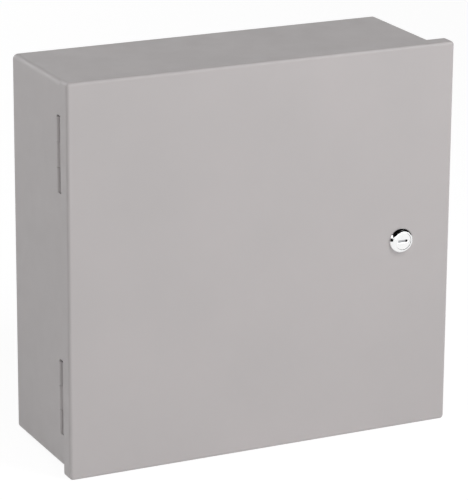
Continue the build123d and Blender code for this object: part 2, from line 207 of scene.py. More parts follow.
@dataclass(frozen=True)
class Finish:
    """A surface whose tone, gloss and grain vary a little over it.

    Attributes:
        slot: The record's slot that the finish fills.
        name: The material's name.
        base: The main colour.
        shade: The colour that the tone drifts towards.
        drift: Size of the patches of tone.
        drift_share: How far the tone drifts.
        rough: Lowest and highest roughness.
        rough_grain: Size of the patches of gloss.
        grain: Size of the bumps.
        bump_height: Height of the bumps.
        stretch: How much longer the grain is along X, depth and Z.
        metallic: One for a bare metal.
        ior: Index of refraction, kept at the default on a metal.
        coat: Weight of a clear layer.
        cells: True where the bumps are closed cells and not grains.
    """

    slot: Slot
    name: str
    base: str
    shade: str
    drift: float
    drift_share: float
    rough: Pair
    rough_grain: float
    grain: float
    bump_height: float
    stretch: Point = (1.0, 1.0, 1.0)
    metallic: float = 0.0
    ior: float = 1.5
    coat: float = 0.0
    cells: bool = False

    def build(self) -> bpy.types.Material:
        """Make the node material.

        Returns:
            The finished material.
        """
        material = bpy.data.materials.new(self.name)
        material.use_nodes = True
        tree = material.node_tree
        shader = tree.nodes["Principled BSDF"]
        shader.inputs["Metallic"].default_value = self.metallic
        shader.inputs["IOR"].default_value = self.ior
        shader.inputs["Coat Weight"].default_value = self.coat
        place = add_node(tree, "ShaderNodeTexCoord").outputs["Object"]
        squeeze = tuple(1 / s for s in self.stretch)
        grain = add_node(tree, "ShaderNodeMapping", {"Vector": place, "Scale": squeeze}).outputs["Vector"]
        self.tone(tree, shader, place)
        self.gloss(tree, shader, grain)
        self.bumps(tree, shader, grain)
        return material

    def tone(self, tree: bpy.types.NodeTree, shader: bpy.types.Node, place: bpy.types.NodeSocket) -> None:
        """Let the colour drift between the base and the shade.

        Args:
            tree: The material's nodes.
            shader: The node that gets the colour.
            place: Where the texture is read.
        """
        drift = {"Vector": place, "Scale": per_size(self.drift), "Detail": TONE_DETAIL}
        cloud = add_node(tree, "ShaderNodeTexNoise", drift)
        span = {"Value": cloud.outputs["Fac"], **NOISE_SPAN, "To Max": self.drift_share}
        amount = add_node(tree, "ShaderNodeMapRange", span).outputs["Result"]
        blend = {"Factor": amount, MIX_FROM: linear(self.base), MIX_TO: linear(self.shade)}
        mix = add_node(tree, "ShaderNodeMix", blend, data_type="RGBA")
        tree.links.new(mix.outputs[MIX_RESULT], shader.inputs["Base Color"])

    def gloss(self, tree: bpy.types.NodeTree, shader: bpy.types.Node, place: bpy.types.NodeSocket) -> None:
        """Let the roughness vary between its two ends.

        Args:
            tree: The material's nodes.
            shader: The node that gets the roughness.
            place: Where the texture is read.
        """
        cloud = add_node(tree, "ShaderNodeTexNoise", {"Vector": place, "Scale": per_size(self.rough_grain)})
        low, high = self.rough
        span = {"Value": cloud.outputs["Fac"], **NOISE_SPAN, "To Min": low, "To Max": high}
        amount = add_node(tree, "ShaderNodeMapRange", span)
        tree.links.new(amount.outputs["Result"], shader.inputs["Roughness"])

    def bumps(self, tree: bpy.types.NodeTree, shader: bpy.types.Node, place: bpy.types.NodeSocket) -> None:
        """Raise the grain or the cells of the surface.

        Args:
            tree: The material's nodes.
            shader: The node that gets the bumps.
            place: Where the texture is read.
        """
        kind = "ShaderNodeTexVoronoi" if self.cells else "ShaderNodeTexNoise"
        output = "Distance" if self.cells else "Fac"
        grain = add_node(tree, kind, {"Vector": place, "Scale": per_size(self.grain)})
        height = {"Height": grain.outputs[output], "Strength": 1.0, "Distance": self.bump_height * MM}
        bump = add_node(tree, "ShaderNodeBump", height)
        tree.links.new(bump.outputs["Normal"], shader.inputs["Normal"])


FINISHES = (
    # Polyester powder coat, sprayed and baked: a satin grey skin, its orange peel drawn coarse to show
    Finish(
        Slot.GREY_COAT, "light_grey_powder_coat", base="#bcb7b7", shade="#b6b2b2", drift=70, drift_share=0.5,
        rough=(0.4, 0.48), rough_grain=14, grain=2.4, bump_height=0.012,
    ),
    # Stove enamel on the loose panel: a flatter and glossier white, with a faint roller grain
    Finish(
        Slot.WHITE_PAINT, "white_stove_enamel", base="#e4e3df", shade="#dcdbd6", drift=60, drift_share=0.5,
        rough=(0.3, 0.38), rough_grain=10, grain=2.0, bump_height=0.008,
    ),
    # Poured polyurethane foam: matte black with closed cells
    Finish(
        Slot.FOAM, "black_cell_foam", base="#1d1d1e", shade="#262627", drift=8, drift_share=0.8,
        rough=(0.85, 0.95), rough_grain=3, grain=0.9, bump_height=0.16, cells=True,
    ),
    # Cold-drawn rod: die lines along the pin under a film of oil
    Finish(
        Slot.STEEL, "drawn_steel", base="#aeb0b2", shade="#94969a", drift=9, drift_share=0.6,
        rough=(0.26, 0.4), rough_grain=1.2, grain=0.5, bump_height=0.006, metallic=1.0,
        stretch=(1.0, 1.0, 12.0),
    ),
    # Clear-passivated zinc: cool, cloudy and a little spangled
    Finish(
        Slot.ZINC, "bright_zinc_plate", base="#cfd3d8", shade="#b9bfc9", drift=5, drift_share=0.7,
        rough=(0.22, 0.36), rough_grain=2.0, grain=0.6, bump_height=0.004, metallic=1.0,
    ),
    # Polished chrome over die-cast zinc: a bright mirror with only hairline haze
    Finish(
        Slot.CHROME, "polished_chrome", base="#f2f2f2", shade="#e8e9ea", drift=6, drift_share=0.4,
        rough=(0.05, 0.09), rough_grain=1.5, grain=0.7, bump_height=0.0006, metallic=1.0,
    ),
    # Stamped brass discs: warm, with a drag grain from the press
    Finish(
        Slot.BRASS, "stamped_brass", base="#c9a45c", shade="#b08d49", drift=3, drift_share=0.6,
        rough=(0.24, 0.36), rough_grain=0.8, grain=0.4, bump_height=0.004, metallic=1.0,
        stretch=(6.0, 1.0, 1.0),
    ),
)


@dataclass(frozen=True)
class Rect:
    """An upright rectangle seen from the front.

    Attributes:
        left: Lowest X.
        right: Highest X.
        low: Lowest Z.
        high: Highest Z.
        rear: Depth of the side towards the wall.
        front: Depth of the side towards the viewer.
    """

    left: float
    right: float
    low: float
    high: float
    rear: float
    front: float

    @classmethod
    def of(cls, node: str) -> "Rect":
        """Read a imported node's box.

        Args:
            node: The node's name.

        Returns:
            The box in millimetres.
        """
        lowest, highest = (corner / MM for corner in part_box(node))
        return cls(lowest.x, highest.x, lowest.z, highest.z, -highest.y, -lowest.y)

    @classmethod
    def around(cls, centre: Pair, width: float, height: float) -> "Rect":
        """Set a rectangle without depth round its middle."""
        x, z = centre
        return cls(x - width / 2, x + width / 2, z - height / 2, z + height / 2, 0.0, 0.0)

    @property
    def centre(self) -> Pair:
        """Middle of the rectangle, as X and Z."""
        return (self.left + self.right) / 2, (self.low + self.high) / 2

    @property
    def middle_depth(self) -> float:
        """Depth half way between the rear and the front."""
        return (self.rear + self.front) / 2

    @property
    def half_width(self) -> float:
        """Half the width, which is a round piece's radius."""
        return (self.right - self.left) / 2

    @property
    def height(self) -> float:
        """Height of the rectangle."""
        return self.high - self.low


class MeshSketch:
    """Points and faces in millimetres, gathered before they become a mesh."""

    def __init__(self) -> None:
        """Start with nothing."""
        self.points: list[Point] = []
        self.faces: list[Ring] = []

    def ring(self, points: Iterable[Point]) -> Ring:
        """Add a row of points.

        Args:
            points: X, depth and Z of each.

        Returns:
            The indices of the new points.
        """
        start = len(self.points)
        self.points.extend((x, -depth, z) for x, depth, z in points)
        return list(range(start, len(self.points)))

    def bridge(self, first: Ring, second: Ring) -> None:
        """Join two closed rows of equal length with quads.

        Args:
            first: The indices of one row.
            second: The indices of the other.
        """
        for i, start in enumerate(first):
            j = (i + 1) % len(first)
            self.faces.append([start, first[j], second[j], second[i]])

    def loft(self, rows: Iterable[Iterable[Point]], closed: bool = False) -> None:
        """Skin a series of rows.

        Args:
            rows: X, depth and Z of the points of closed rows of equal length.
            closed: True to join the last row to the first, False to cap both ends.
        """
        rings = [self.ring(row) for row in rows]
        for first, second in zip(rings, rings[1:]):
            self.bridge(first, second)
        if closed:
            self.bridge(rings[-1], rings[0])
        else:
            self.faces.extend((rings[0], rings[-1]))

    def lathe(self, centre: Pair, profile: Sequence[Pair], closed: bool) -> None:
        """Turn a profile about an axis along the depth.

        Args:
            centre: X and Z of the axis.
            profile: Radius and depth of each point.
            closed: True for a ring, False for a solid with two ends.
        """
        self.loft([circle(centre, radius, depth) for radius, depth in profile], closed)

    def bar(self, rect: Rect, corner: float, rear: float, front: float) -> None:
        """Add a bar with rounded edges.

        Args:
            rect: Its outline.
            corner: Radius of its edges.
            rear: Depth of one end.
            front: Depth of the other end.
        """
        self.loft([rounded_loop(rect, 0.0, corner, depth) for depth in (rear, front)])

    def to_object(self, name: str) -> bpy.types.Object:
        """Make a clean mesh object, with faces that point outwards.

        Args:
            name: The object's name.

        Returns:
            The object, at the origin.
        """
        mesh = bpy.data.meshes.new(name)
        mesh.from_pydata([Vector(point) * MM for point in self.points], [], self.faces)
        return link_clean(name, mesh)


def link_clean(name: str, mesh: bpy.types.Mesh) -> bpy.types.Object:
    """Merge a mesh's doubles, turn its faces outwards and put it in the scene.

    Args:
        name: The object's name.
        mesh: The mesh to clean.

    Returns:
        The object, at the origin.
    """
    work = bmesh.new()
    work.from_mesh(mesh)
    bmesh.ops.remove_doubles(work, verts=work.verts, dist=MERGE_DISTANCE * MM)
    bmesh.ops.recalc_face_normals(work, faces=work.faces)
    work.to_mesh(mesh)
    work.free()
    piece = bpy.data.objects.new(name, mesh)
    bpy.context.scene.collection.objects.link(piece)
    return piece


def turned(centre: Pair, reach: Reach, depth: float, steps: int = ROUND_STEPS) -> list[Point]:
    """Give the points of a round at one depth.

    Args:
        centre: X and Z of its axis.
        reach: Distance from the axis at an angle.
        depth: The depth.
        steps: The number of points.

    Returns:
        X, depth and Z of each point.
    """
    angles = [TAU * step / steps for step in range(steps)]
    return [(centre[0] + reach(a) * math.cos(a), depth, centre[1] + reach(a) * math.sin(a)) for a in angles]


def circle(centre: Pair, radius: float, depth: float, steps: int = ROUND_STEPS) -> list[Point]:
    """Give the points of a plain round at one depth."""
    return turned(centre, lambda _: radius, depth, steps)


def with_flats(points: Iterable[Point], middle: float, flat: float) -> list[Point]:
    """Limit a round's points to two flats, at one distance above and below its middle."""
    return [(x, depth, min(max(z, middle - flat), middle + flat)) for x, depth, z in points]


def rounded_loop(rect: Rect, inset: float, radius: float, depth: float) -> list[Point]:
    """Give the points of a rounded rectangle.

    Args:
        rect: The outer rectangle.
        inset: How far inside it the loop lies.
        radius: The loop's corner radius.
        depth: Its depth.

    Returns:
        X, depth and Z of each point, the same number for any loop.
    """
    radius = max(radius, SMALLEST_RADIUS)
    reach = inset + radius
    corners = (
        (rect.right - reach, rect.high - reach),
        (rect.left + reach, rect.high - reach),
        (rect.left + reach, rect.low + reach),
        (rect.right - reach, rect.low + reach),
    )
    points = []
    for turn, (x, z) in enumerate(corners):
        for step in range(CORNER_STEPS + 1):
            angle = QUARTER * (turn + step / CORNER_STEPS)
            points.append((x + radius * math.cos(angle), depth, z + radius * math.sin(angle)))
    return points


def quarter(start: Pair, end: Pair, inset_first: bool, steps: int) -> list[Pair]:
    """Round a corner of a section by a quarter turn.

    Args:
        start: Inset and depth at the start.
        end: Inset and depth at the end.
        inset_first: True where the curve leaves along the inset, False where it leaves along the depth.
        steps: The number of pieces of the curve.

    Returns:
        Inset and depth of each point.
    """
    points = []
    for step in range(steps + 1):
        angle = QUARTER * step / steps
        early, late = math.sin(angle), 1 - math.cos(angle)
        along, across = (early, late) if inset_first else (late, early)
        points.append((start[0] + (end[0] - start[0]) * along, start[1] + (end[1] - start[1]) * across))
    return points


def settle(piece: bpy.types.Object) -> None:
    """Turn a piece's modifiers into its own plain mesh.

    Args:
        piece: The piece.
    """
    graph = bpy.context.evaluated_depsgraph_get()
    mesh = bpy.data.meshes.new_from_object(piece.evaluated_get(graph))
    mesh.name = piece.name
    piece.modifiers.clear()
    piece.data = mesh


def cut(piece: bpy.types.Object, cutter: bpy.types.Object) -> None:
    """Cut one closed shape out of a piece, and delete that shape.

    Args:
        piece: The piece.
        cutter: The shape.
    """
    modifier = piece.modifiers.new("cut", "BOOLEAN")
    modifier.operation = "DIFFERENCE"
    modifier.solver = "EXACT"
    modifier.object = cutter
    settle(piece)
    bpy.data.objects.remove(cutter)


def copy_of(piece: bpy.types.Object) -> bpy.types.Object:
    """Make a second object with its own copy of a piece's mesh.

    Args:
        piece: The piece.

    Returns:
        The second object.
    """
    double = piece.copy()
    double.data = piece.data.copy()
    bpy.context.scene.collection.objects.link(double)
    return double


def join(target: bpy.types.Object, parts: Sequence[bpy.types.Object]) -> None:
    """Replace a piece's mesh by the meshes of several others, and delete those.

    Args:
        target: The piece.
        parts: The objects whose meshes it takes.
    """
    work = bmesh.new()
    for part in parts:
        work.from_mesh(part.data)
        bpy.data.objects.remove(part)
    work.to_mesh(target.data)
    work.free()


def soften(piece: bpy.types.Object, width: float) -> None:
    """Break a piece's sharp edges and smooth its round faces.

    Args:
        piece: The piece.
        width: Width of the broken edge, or zero to leave the edges.
    """
    if width:
        bevel = piece.modifiers.new("edges", "BEVEL")
        bevel.width = width * MM
        bevel.segments = BEVEL_SEGMENTS
        bevel.limit_method = "ANGLE"
        bevel.angle_limit = BEVEL_ANGLE
        settle(piece)
    piece.data.shade_smooth()
    piece.data.set_sharp_from_angle(angle=SHARP_ANGLE)
    normals = piece.modifiers.new("flat_faces", "WEIGHTED_NORMAL")
    normals.keep_sharp = True
    settle(piece)


class Palette:
    """The finishes as materials, and the way that a piece gets its own."""

    def __init__(self, finishes: Sequence[Finish]) -> None:
        """Build every material."""
        self.materials = {finish.slot: finish.build() for finish in finishes}

    def hand_over(
        self, piece: bpy.types.Object, body: Body, slot: Slot, *nodes: str, edge: float = 0.0
    ) -> None:
        """Smooth a piece, dress it and let it ride.

        Args:
            piece: The piece.
            body: The body that carries it.
            slot: The finish that it takes.
            *nodes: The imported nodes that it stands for.
            edge: Width of its broken edges, or zero to leave them.
        """
        soften(piece, edge)
        piece.data.materials.clear()
        piece.data.materials.append(self.materials[slot])
        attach(piece, body.value)
        if nodes:
            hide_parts(*nodes)
        faces = len(piece.data.polygons)
        LOG.info("%s rides on %s in %s, %d faces", piece.name, body.value, slot.value, faces)


def packed_copy(node: str, name: str) -> bpy.types.Object:
    """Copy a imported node's shape with whole flat faces.

    Args:
        node: The node's name.
        name: The new piece's name.

    Returns:
        The new piece.
    """
    piece = link_clean(name, frame["nodes"][node].data.copy())
    work = bmesh.new()
    work.from_mesh(piece.data)
    bmesh.ops.dissolve_limit(work, angle_limit=FLAT_ANGLE, verts=work.verts, edges=work.edges)
    work.to_mesh(piece.data)
    work.free()
    return piece


class PatternTree:
    """A Geometry Nodes tree that sets a shape out in rows or round an axis."""

    def __init__(self, pattern: Pattern) -> None:
        """Build the tree.

        Args:
            pattern: The kind of pattern.
        """
        self.tree = bpy.data.node_groups.new(pattern.value, "GeometryNodeTree")
        inputs = {"Shape": "Geometry", "Start": "Vector", "Count": "Int", "Material": "Material"}
        if pattern is Pattern.GRID:
            inputs |= {"Step": "Vector", "Row Count": "Int", "Row Step": "Vector"}
        for name, kind in inputs.items():
            self.tree.interface.new_socket(name, in_out="INPUT", socket_type=f"NodeSocket{kind}")
        self.tree.interface.new_socket("Pattern", in_out="OUTPUT", socket_type="NodeSocketGeometry")
        given = add_node(self.tree, "NodeGroupInput").outputs
        placed = self.rows(given) if pattern is Pattern.GRID else self.turns(given)
        real = add_node(self.tree, "GeometryNodeRealizeInstances", {"Geometry": placed})
        merge = {"Geometry": real.outputs["Geometry"], "Distance": MERGE_DISTANCE * MM}
        whole = add_node(self.tree, "GeometryNodeMergeByDistance", merge)
        coat = {"Geometry": whole.outputs["Geometry"], "Material": given["Material"]}
        coated = add_node(self.tree, "GeometryNodeSetMaterial", coat)
        add_node(self.tree, "NodeGroupOutput", {"Pattern": coated.outputs["Geometry"]})

    def rows(self, given: bpy.types.NodeOutputs) -> bpy.types.NodeSocket:
        """Set the shape on the points of several rows.

        Args:
            given: The tree's inputs.

        Returns:
            The placed instances.
        """
        row = add_node(self.tree, "GeometryNodeMeshLine", {"Count": given["Count"], "Offset": given["Step"]})
        starts = {"Count": given["Row Count"], "Start Location": given["Start"], "Offset": given["Row Step"]}
        stack = add_node(self.tree, "GeometryNodeMeshLine", starts)
        every = {"Points": stack.outputs["Mesh"], "Instance": row.outputs["Mesh"]}
        rows = add_node(self.tree, "GeometryNodeInstanceOnPoints", every)
        points = add_node(self.tree, "GeometryNodeRealizeInstances", {"Geometry": rows.outputs["Instances"]})
        shapes = {"Points": points.outputs["Geometry"], "Instance": given["Shape"]}
        return add_node(self.tree, "GeometryNodeInstanceOnPoints", shapes).outputs["Instances"]

    def turns(self, given: bpy.types.NodeOutputs) -> bpy.types.NodeSocket:
        """Turn the shape about an axis along the depth.

        Args:
            given: The tree's inputs.

        Returns:
            The placed instances.
        """
        inputs = {"Count": given["Count"], "Start Location": given["Start"], "Offset": (0.0, 0.0, 0.0)}
        points = add_node(self.tree, "GeometryNodeMeshLine", inputs)
        number = add_node(self.tree, "GeometryNodeInputIndex").outputs["Index"]
        share = add_node(self.tree, "ShaderNodeMath", {0: number, 1: given["Count"]}, operation="DIVIDE")
        angle = add_node(self.tree, "ShaderNodeMath", {0: share.outputs[0], 1: TAU}, operation="MULTIPLY")
        euler = add_node(self.tree, "ShaderNodeCombineXYZ", {"Y": angle.outputs[0]}).outputs["Vector"]
        turn = add_node(self.tree, "FunctionNodeEulerToRotation", {"Euler": euler}).outputs["Rotation"]
        shapes = {"Points": points.outputs["Mesh"], "Instance": given["Shape"], "Rotation": turn}
        return add_node(self.tree, "GeometryNodeInstanceOnPoints", shapes).outputs["Instances"]

    def apply(self, shape: bpy.types.Object, **values: object) -> None:
        """Set a shape out and keep the result as its plain mesh.

        Args:
            shape: The object that holds one copy of the shape.
            **values: The tree's inputs, with spaces in their names as underscores.
        """
        modifier = shape.modifiers.new("pattern", "NODES")
        modifier.node_group = self.tree
        sockets = self.tree.interface.items_tree
        inputs = {item.name: item.identifier for item in sockets if item.in_out == "INPUT"}
        for name, value in values.items():
            modifier[inputs[name.replace("_", " ")]] = value
        settle(shape)

    def single_row(
        self, shape: bpy.types.Object, start: Point, step: Point, count: int, material: bpy.types.Material
    ) -> None:
        """Set a shape out in one row.

        Args:
            shape: The object that holds one copy of the shape.
            start: X, depth and Z of the first copy.
            step: Way from one copy to the next.
            count: The number of copies.
            material: The material of them all.
        """
        self.apply(
            shape,
            Start=metres(start),
            Count=count,
            Step=metres(step),
            Row_Count=1,
            Row_Step=Vector(),
            Material=material,
        )


def hex_corner(flats: float) -> float:
    """Give the distance from a hexagon's middle to its corners."""
    return flats / 2 / math.cos(TAU / HEX_SIDES / 2)


def hex_reach(flats: float) -> Reach:
    """Give the distance from a hexagon's middle to its edge, by angle.

    Args:
        flats: Width across the flats.

    Returns:
        A function of the angle.
    """
    side = TAU / HEX_SIDES
    return lambda angle: flats / 2 / math.cos(angle % side - side / 2)


def add_hexagon(
    sketch: MeshSketch, centre: Pair, flats: float, rear: float, front: float, bore: float
) -> None:
    """Add a hexagonal bar or nut with its corners turned off at both ends.

    Args:
        sketch: The sketch that gets it.
        centre: X and Z of its axis.
        flats: Width across the flats.
        rear: Depth of one end.
        front: Depth of the other end.
        bore: Radius of its hole, or zero for a bar.
    """
    reach = hex_reach(flats)
    face = flats * HEX_FACE_SHARE

    def flank(angle: float) -> float:
        """Depth of the turned corner below the end face."""
        return (reach(angle) - face) * HEX_SLOPE_SHARE

    def row(radius: Reach, depth: Reach) -> list[Point]:
        """Give one row of the hexagon's skin.

        Args:
            radius: Distance from the axis at an angle.
            depth: Depth at an angle.

        Returns:
            X, depth and Z of each point.
        """
        flat = turned(centre, radius, 0.0)
        angles = [TAU * step / len(flat) for step in range(len(flat))]
        return [(x, depth(a), z) for (x, _, z), a in zip(flat, angles)]

    rows = [
        row(lambda _: face, lambda _: rear),
        row(reach, lambda a: rear + flank(a)),
        row(reach, lambda a: front - flank(a)),
        row(lambda _: face, lambda _: front),
    ]
    if bore:
        mouth = bore + BORE_CHAMFER
        rows += [
            row(lambda _: mouth, lambda _: front),
            row(lambda _: bore, lambda _: front - BORE_CHAMFER),
            row(lambda _: bore, lambda _: rear + BORE_CHAMFER),
            row(lambda _: mouth, lambda _: rear),
        ]
    sketch.loft(rows, closed=bool(bore))


def add_thread(
    sketch: MeshSketch, centre: Pair, radius: float, pitch: float, start: float, end: float
) -> None:
    """Add a rod with a rolled thread and a pointed tip.

    Args:
        sketch: The sketch that gets it.
        centre: X and Z of its axis.
        radius: Radius of the crests.
        pitch: Distance between crests.
        start: Depth of its foot.
        end: Depth of its tip.
    """
    root, tip = THREAD_ROOT_SHARE * pitch, THREAD_TIP_SHARE * pitch
    length = abs(end - start)
    way = math.copysign(1.0, end - start)
    count = round(length / pitch * ROWS_PER_PITCH)
    rows = []
    for number in range(count + 1):
        along = length * number / count
        fade = min(1.0, along / pitch)
        crest = radius - max(0.0, along - length + tip)

        def reach(angle: float, along: float = along, fade: float = fade, crest: float = crest) -> float:
            """Distance of the thread's flank from the axis."""
            phase = (along / pitch - way * angle / TAU) % 1.0
            return min(crest, radius - fade * root * abs(2 * phase - 1))

        rows.append(turned(centre, reach, start + way * along, THREAD_STEPS))
    sketch.loft(rows)


def add_washer(
    sketch: MeshSketch, centre: Pair, bore: float, radius: float, rear: float, front: float
) -> None:
    """Add a stamped washer with its edges rolled over.

    Args:
        sketch: The sketch that gets it.
        centre: X and Z of its axis.
        bore: Radius of the hole.
        radius: Outer radius.
        rear: Depth of one face.
        front: Depth of the other face.
    """
    roll = (front - rear) * WASHER_ROLL_SHARE
    profile = []
    for start, end, inset_first in (
        ((radius - roll, rear), (radius, rear + roll), True),
        ((radius, front - roll), (radius - roll, front), False),
        ((bore + roll, front), (bore, front - roll), True),
        ((bore, rear + roll), (bore + roll, rear), False),
    ):
        profile += quarter(start, end, inset_first, EDGE_STEPS)
    sketch.lathe(centre, profile, closed=True)


@dataclass
class EnclosureBox:
    """The folded and welded steel box.

    Attributes:
        palette: The finishes that its pieces take.
        pattern: The tree that sets out its welds.
        sheet: Thickness of the steel.
        corner: Outer radius of the upright corners.
        fold: Outer radius of the folds.
        lip: Width of the lip round the mouth.
        mouth: Corner radius of the mouth.
        edge: Radius that the coat gives a cut edge.
        slot_reach: How far a hinge's leaf runs forwards inside its slot.
        slot_clearance: Room round a hinge in its slot.
        slot_corner: Corner radius of a hinge slot.
        knuckle: Radius of a hinge's knuckle.
        bead_length: Length of the weld in each corner of the lip.
        bead_width: Half the width of that weld.
        bead_height: Height of its crown.
        bead_pitch: Distance between its ripples, across and down.
        bead_tilts: Angles of a ripple's curve, from its foot to its crown.
    """

    palette: Palette
    pattern: PatternTree
    sheet: float = 1.5
    corner: float = 4.0
    fold: float = 3.0
    lip: float = 14.0
    mouth: float = 3.0
    edge: float = 0.35
    slot_reach: float = 9.0
    slot_clearance: float = 0.75
    slot_corner: float = 1.2
    knuckle: float = 2.05
    bead_length: float = 11.0
    bead_width: float = 1.1
    bead_height: float = 0.22
    bead_pitch: float = 0.75
    bead_tilts: tuple[float, ...] = (0.0, 0.4, 0.8, 1.2)

    def section(self, front: float) -> list[tuple[float, float, float]]:
        """Work out the wall's section from the back, over the lip and back inside.

        Args:
            front: Depth of the lip's face.

        Returns:
            Inset, depth and corner radius of each loop.
        """
        sheet, fold, lip, edge = self.sheet, self.fold, self.lip, self.edge
        inner = fold - sheet
        behind = front - sheet
        folds = quarter((fold, 0.0), (0.0, fold), True, FOLD_STEPS)
        folds += quarter((0.0, front - fold), (fold, front), False, FOLD_STEPS)
        path = [(inset, depth, self.corner - inset) for inset, depth in folds]
        rim = quarter((lip - edge, front), (lip, front - edge), True, EDGE_STEPS)
        rim += quarter((lip, behind + edge), (lip - edge, behind), False, EDGE_STEPS)
        path += [(inset, depth, self.mouth + lip - inset) for inset, depth in rim]
        inside = quarter((fold, behind), (sheet, behind - inner), True, FOLD_STEPS)
        inside += quarter((sheet, fold), (fold, sheet), False, FOLD_STEPS)
        path += [(inset, depth, self.corner - inset) for inset, depth in inside]
        return path

    def build(self) -> None:
        """Make the box, with its wall holes and hinge slots, and its corner welds."""
        rect = Rect.of("enclosure_body")
        section = self.section(rect.front)
        sketch = MeshSketch()
        sketch.loft([rounded_loop(rect, inset, r, d) for inset, d, r in section])
        shell = sketch.to_object("folded_box")
        cut(shell, self.openings(rect))
        self.palette.hand_over(shell, Body.CABINET, Slot.GREY_COAT, "enclosure_body", edge=self.edge)
        self.corner_beads(rect)

    def openings(self, rect: Rect) -> bpy.types.Object:
        """Make the shape of the wall holes and the hinge slots.

        Args:
            rect: The box's own rectangle.

        Returns:
            One cutter for them all.
        """
        sketch = MeshSketch()
        bolts = next(mount for mount in frame["record"]["mounts"] if mount["name"] == "wall_bolts")["dims"]
        hole = bolts["hole_r_mm"]
        through = (-self.sheet, 2 * self.sheet)
        for side, level in CORNERS:
            centre = (side * bolts["spacing_x_mm"] / 2, level * bolts["spacing_y_mm"] / 2)
            sketch.lathe(centre, [(hole, depth) for depth in through], closed=False)
        for node in ("upper_hinge_pin", "lower_hinge_pin"):
            pin = Rect.of(node)
            rear = pin.middle_depth - self.knuckle - self.slot_clearance
            front = pin.middle_depth + self.slot_reach + self.slot_clearance
            foot, head = pin.low - self.slot_clearance, pin.high + self.slot_clearance
            # Seen from the side, where depth takes the place of X
            slot = Rect(rear, front, foot, head, 0.0, 0.0)
            outline = rounded_loop(slot, 0.0, self.slot_corner, 0.0)
            sides = [rect.left + x for x in through]
            sketch.loft([[(x, depth, z) for depth, _, z in outline] for x in sides])
        return sketch.to_object("openings")

    def corner_beads(self, rect: Rect) -> None:
        """Lay a dressed weld across each corner of the lip.

        Args:
            rect: The box's own rectangle.
        """
        width, pitch = self.bead_width, self.bead_pitch
        profile = [(width * math.cos(a), self.bead_height * math.sin(a)) for a in self.bead_tilts]
        sketch = MeshSketch()
        sketch.loft([circle((0.0, 0.0), radius, depth, BEAD_STEPS) for radius, depth in profile])
        bead = sketch.to_object("lip_corner_welds")
        coat = self.palette.materials[Slot.GREY_COAT]
        count = round(self.bead_length / math.sqrt(2) / pitch)
        welds = []
        for side, level in CORNERS:
            x = (rect.right if side > 0 else rect.left) - side * (self.fold + width)
            z = (rect.high if level > 0 else rect.low) - level * (self.fold + width)
            step = (-side * pitch, 0.0, -level * pitch)
            weld = copy_of(bead)
            self.pattern.single_row(weld, (x, rect.front, z), step, count, coat)
            welds.append(weld)
        join(bead, welds)
        self.palette.hand_over(bead, Body.CABINET, Slot.GREY_COAT)


@dataclass
class DoorPan:
    """The folded door, with its gasket.

    Attributes:
        palette: The finishes that its pieces take.
        sheet: Thickness of the steel.
        corner: Outer radius of the upright corners.
        fold: Outer radius of the folds.
        edge: Radius that the coat gives a cut edge.
        hole_radius: Radius of the lock's hole.
        hole_flat: Distance of the hole's flats from its middle.
        foam_corner: Outer corner radius of the gasket.
        foam_width: Width of the gasket.
        foam_round: Radius of the gasket's skin.
    """

    palette: Palette
    sheet: float = 1.5
    corner: float = 3.0
    fold: float = 2.5
    edge: float = 0.35
    hole_radius: float = 8.15
    hole_flat: float = 7.05
    foam_corner: float = 6.0
    foam_width: float = 9.0
    foam_round: float = 1.6

    def build(self) -> None:
        """Make the pan and the gasket behind it."""
        self.pan()
        self.gasket()

    def pan(self) -> None:
        """Fold the pan and cut the lock's hole."""
        rect = Rect.of("door")
        sheet, fold, edge = self.sheet, self.fold, self.edge
        back = rect.front - sheet
        path = quarter((fold, rect.front), (0.0, rect.front - fold), True, FOLD_STEPS)
        path += quarter((0.0, rect.rear + edge), (edge, rect.rear), False, EDGE_STEPS)
        path += quarter((sheet - edge, rect.rear), (sheet, rect.rear + edge), True, EDGE_STEPS)
        path += quarter((sheet, back - fold + sheet), (fold, back), False, FOLD_STEPS)
        sketch = MeshSketch()
        sketch.loft([rounded_loop(rect, inset, self.corner - inset, depth) for inset, depth in path])
        pan = sketch.to_object("door_pan")
        hole = MeshSketch()
        lock = Rect.of("lock_housing").centre
        rows = [circle(lock, self.hole_radius, d) for d in (back - sheet, rect.front + sheet)]
        hole.loft([with_flats(row, lock[1], self.hole_flat) for row in rows])
        cut(pan, hole.to_object("lock_hole"))
        self.palette.hand_over(pan, Body.DOOR, Slot.GREY_COAT, "door")

    def gasket(self) -> None:
        """Pour the foam ring, with a soft skin on the side of the lip."""
        rect = Rect.of("door_gasket")
        width, skin = self.foam_width, self.foam_round
        path = [(0.0, rect.front), (0.0, rect.rear + skin)]
        path += quarter((0.0, rect.rear + skin), (skin, rect.rear), False, FOLD_STEPS)
        path += quarter((width - skin, rect.rear), (width, rect.rear + skin), True, FOLD_STEPS)
        path += [(width, rect.front)]
        sketch = MeshSketch()
        rows = [rounded_loop(rect, inset, self.foam_corner - inset, depth) for inset, depth in path]
        sketch.loft(rows, closed=True)
        self.palette.hand_over(sketch.to_object("foam_gasket"), Body.DOOR, Slot.FOAM, "door_gasket")


